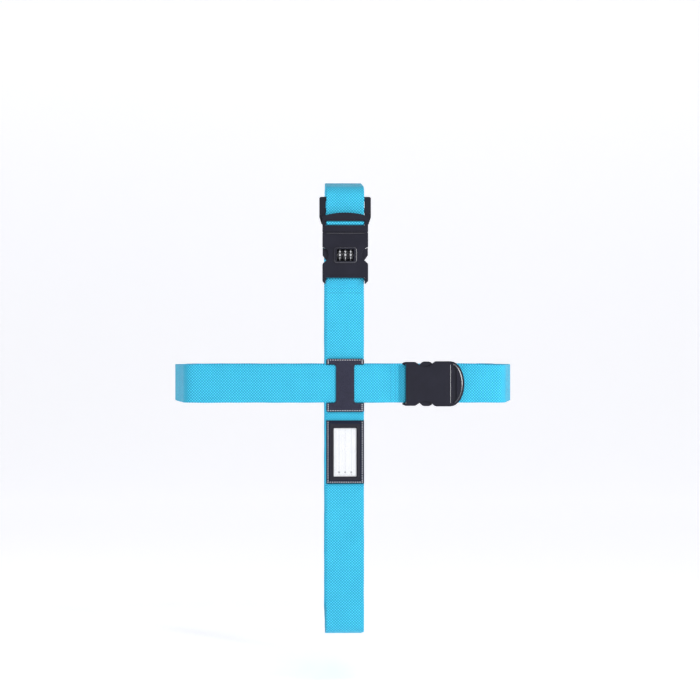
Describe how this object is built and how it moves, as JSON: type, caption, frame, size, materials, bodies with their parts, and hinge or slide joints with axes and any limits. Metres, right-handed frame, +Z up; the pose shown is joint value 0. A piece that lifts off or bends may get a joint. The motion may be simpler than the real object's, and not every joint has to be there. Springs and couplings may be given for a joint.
{
  "type": "cross luggage strap with combination buckle",
  "caption": "Cross luggage strap as worn on a case: an upright and a level webbing loop, combination buckle, side release buckle, leather crossing keeper and address tag.",
  "frame": {"origin": "centre of the space that the suitcase fills, between the two loops", "axes": "+Z up the case, -Y out of the case's front face, +X to the right seen from the front"},
  "size_m": [0.4648, 0.2845, 0.6238],
  "materials": {
    "webbing": "sky blue woven polypropylene webbing",
    "webbing_thread": "blue polyester thread",
    "buckle_plastic": "satin black moulded acetal",
    "dial_plastic": "black moulded plastic with white numerals",
    "works_metal": "turned brass",
    "dark_metal": "blackened die-cast zinc",
    "works_steel": "plated steel",
    "leather": "black grained leather",
    "white_thread": "white polyester thread",
    "clear_film": "clear plastic film",
    "card": "white card"
  },
  "bodies": {
    "level_loop": {"level_webbing": "webbing", "level_webbing_right": "webbing", "level_seam": "webbing_thread", "release_female": "buckle_plastic"},
    "release_plug": {"release_male": "buckle_plastic"},
    "release_latch_upper": {"release_arm_upper": "buckle_plastic"},
    "release_latch_lower": {"release_arm_lower": "buckle_plastic"},
    "upright_loop": {"upright_webbing": "webbing", "upright_webbing_top": "webbing", "upright_seam": "webbing_thread", "combination_back_shell": "buckle_plastic", "combination_front_shell": "buckle_plastic", "combination_screws": "works_steel", "spindle": "works_steel", "spindle_collar": "works_steel", "cam_spring": "works_steel", "detent_spring": "works_steel", "cross_keeper": "leather", "cross_keeper_stitching": "white_thread", "tag_back": "leather", "tag_frame": "leather", "tag_window": "clear_film", "tag_stitching": "white_thread"},
    "left_dial": {"dial_left": "dial_plastic", "cam_left": "dark_metal"},
    "middle_dial": {"dial_middle": "dial_plastic", "cam_middle": "dark_metal"},
    "right_dial": {"dial_right": "dial_plastic", "cam_right": "dark_metal"},
    "left_blocker": {"blocker_left": "works_metal"},
    "right_blocker": {"blocker_right": "works_metal"},
    "reset": {"reset_button": "works_metal"},
    "address_card": {"tag_card": "card"},
    "combination_plug": {"combination_male": "buckle_plastic"},
    "combination_latch_left": {"combination_arm_left": "buckle_plastic"},
    "combination_latch_right": {"combination_arm_right": "buckle_plastic"},
    "tail_slide": {"tail_keeper": "buckle_plastic"}
  },
  "joints": [
    {"name": "crossing_slide", "type": "slide", "parent": "level_loop", "child": "upright_loop", "axis": [1, 0, 0], "range_m": [-0.05, 0.03]},
    {"name": "release_pull", "type": "slide", "parent": "level_loop", "child": "release_plug", "axis": [1, 0, 0], "range_m": [0, 0.045], "deforming": ["level_webbing_right", "release_arm_upper", "release_arm_lower"]},
    {"name": "release_squeeze_upper", "type": "hinge", "parent": "release_plug", "child": "release_latch_upper", "pos_m": [0.1354, -0.13875, 0.055], "axis": [0, -1, 0], "range_deg": [0, 9], "stiffness_Nm_per_rad": 0.5},
    {"name": "release_squeeze_lower", "type": "hinge", "parent": "release_plug", "child": "release_latch_lower", "pos_m": [0.1354, -0.13875, 0.017], "axis": [0, 1, 0], "range_deg": [0, 9], "stiffness_Nm_per_rad": 0.5},
    {"name": "combination_pull", "type": "slide", "parent": "upright_loop", "child": "combination_plug", "axis": [0, 0, 1], "range_m": [0, 0.045], "deforming": ["upright_webbing_top", "combination_arm_left", "combination_arm_right"]},
    {"name": "combination_squeeze_left", "type": "hinge", "parent": "combination_plug", "child": "combination_latch_left", "pos_m": [-0.019, -0.13925, 0.2305], "axis": [0, -1, 0], "range_deg": [0, 10.5], "stiffness_Nm_per_rad": 0.5},
    {"name": "combination_squeeze_right", "type": "hinge", "parent": "combination_plug", "child": "combination_latch_right", "pos_m": [0.019, -0.13925, 0.2305], "axis": [0, 1, 0], "range_deg": [0, 10.5], "stiffness_Nm_per_rad": 0.5},
    {"name": "blocker_left_slide", "type": "slide", "parent": "upright_loop", "child": "left_blocker", "axis": [1, 0, 0], "range_m": [0, 0.0029]},
    {"name": "blocker_right_slide", "type": "slide", "parent": "upright_loop", "child": "right_blocker", "axis": [-1, 0, 0], "range_m": [0, 0.0029]},
    {"name": "dial_left_turn", "type": "hinge", "parent": "upright_loop", "child": "left_dial", "pos_m": [-0.0071, -0.142, 0.2051], "axis": [1, 0, 0], "continuous": true},
    {"name": "dial_middle_turn", "type": "hinge", "parent": "upright_loop", "child": "middle_dial", "pos_m": [0, -0.142, 0.2051], "axis": [1, 0, 0], "continuous": true},
    {"name": "dial_right_turn", "type": "hinge", "parent": "upright_loop", "child": "right_dial", "pos_m": [0.0071, -0.142, 0.2051], "axis": [1, 0, 0], "continuous": true},
    {"name": "reset_press", "type": "slide", "parent": "upright_loop", "child": "reset", "axis": [0, -1, 0], "range_m": [0, 0.0015], "stiffness_N_per_m": 300},
    {"name": "card_slide", "type": "slide", "parent": "upright_loop", "child": "address_card", "axis": [0, 0, 1], "range_m": [0, 0.012]},
    {"name": "tail_slide_travel", "type": "slide", "parent": "combination_plug", "child": "tail_slide", "axis": [0, 0, 1], "range_m": [0, 0.004]}
  ],
  "couplings": [
    {"joint": "blocker_left_slide", "follows": "combination_squeeze_left", "m_per_rad": 0.0153},
    {"joint": "blocker_right_slide", "follows": "combination_squeeze_right", "m_per_rad": 0.0153}
  ]
}
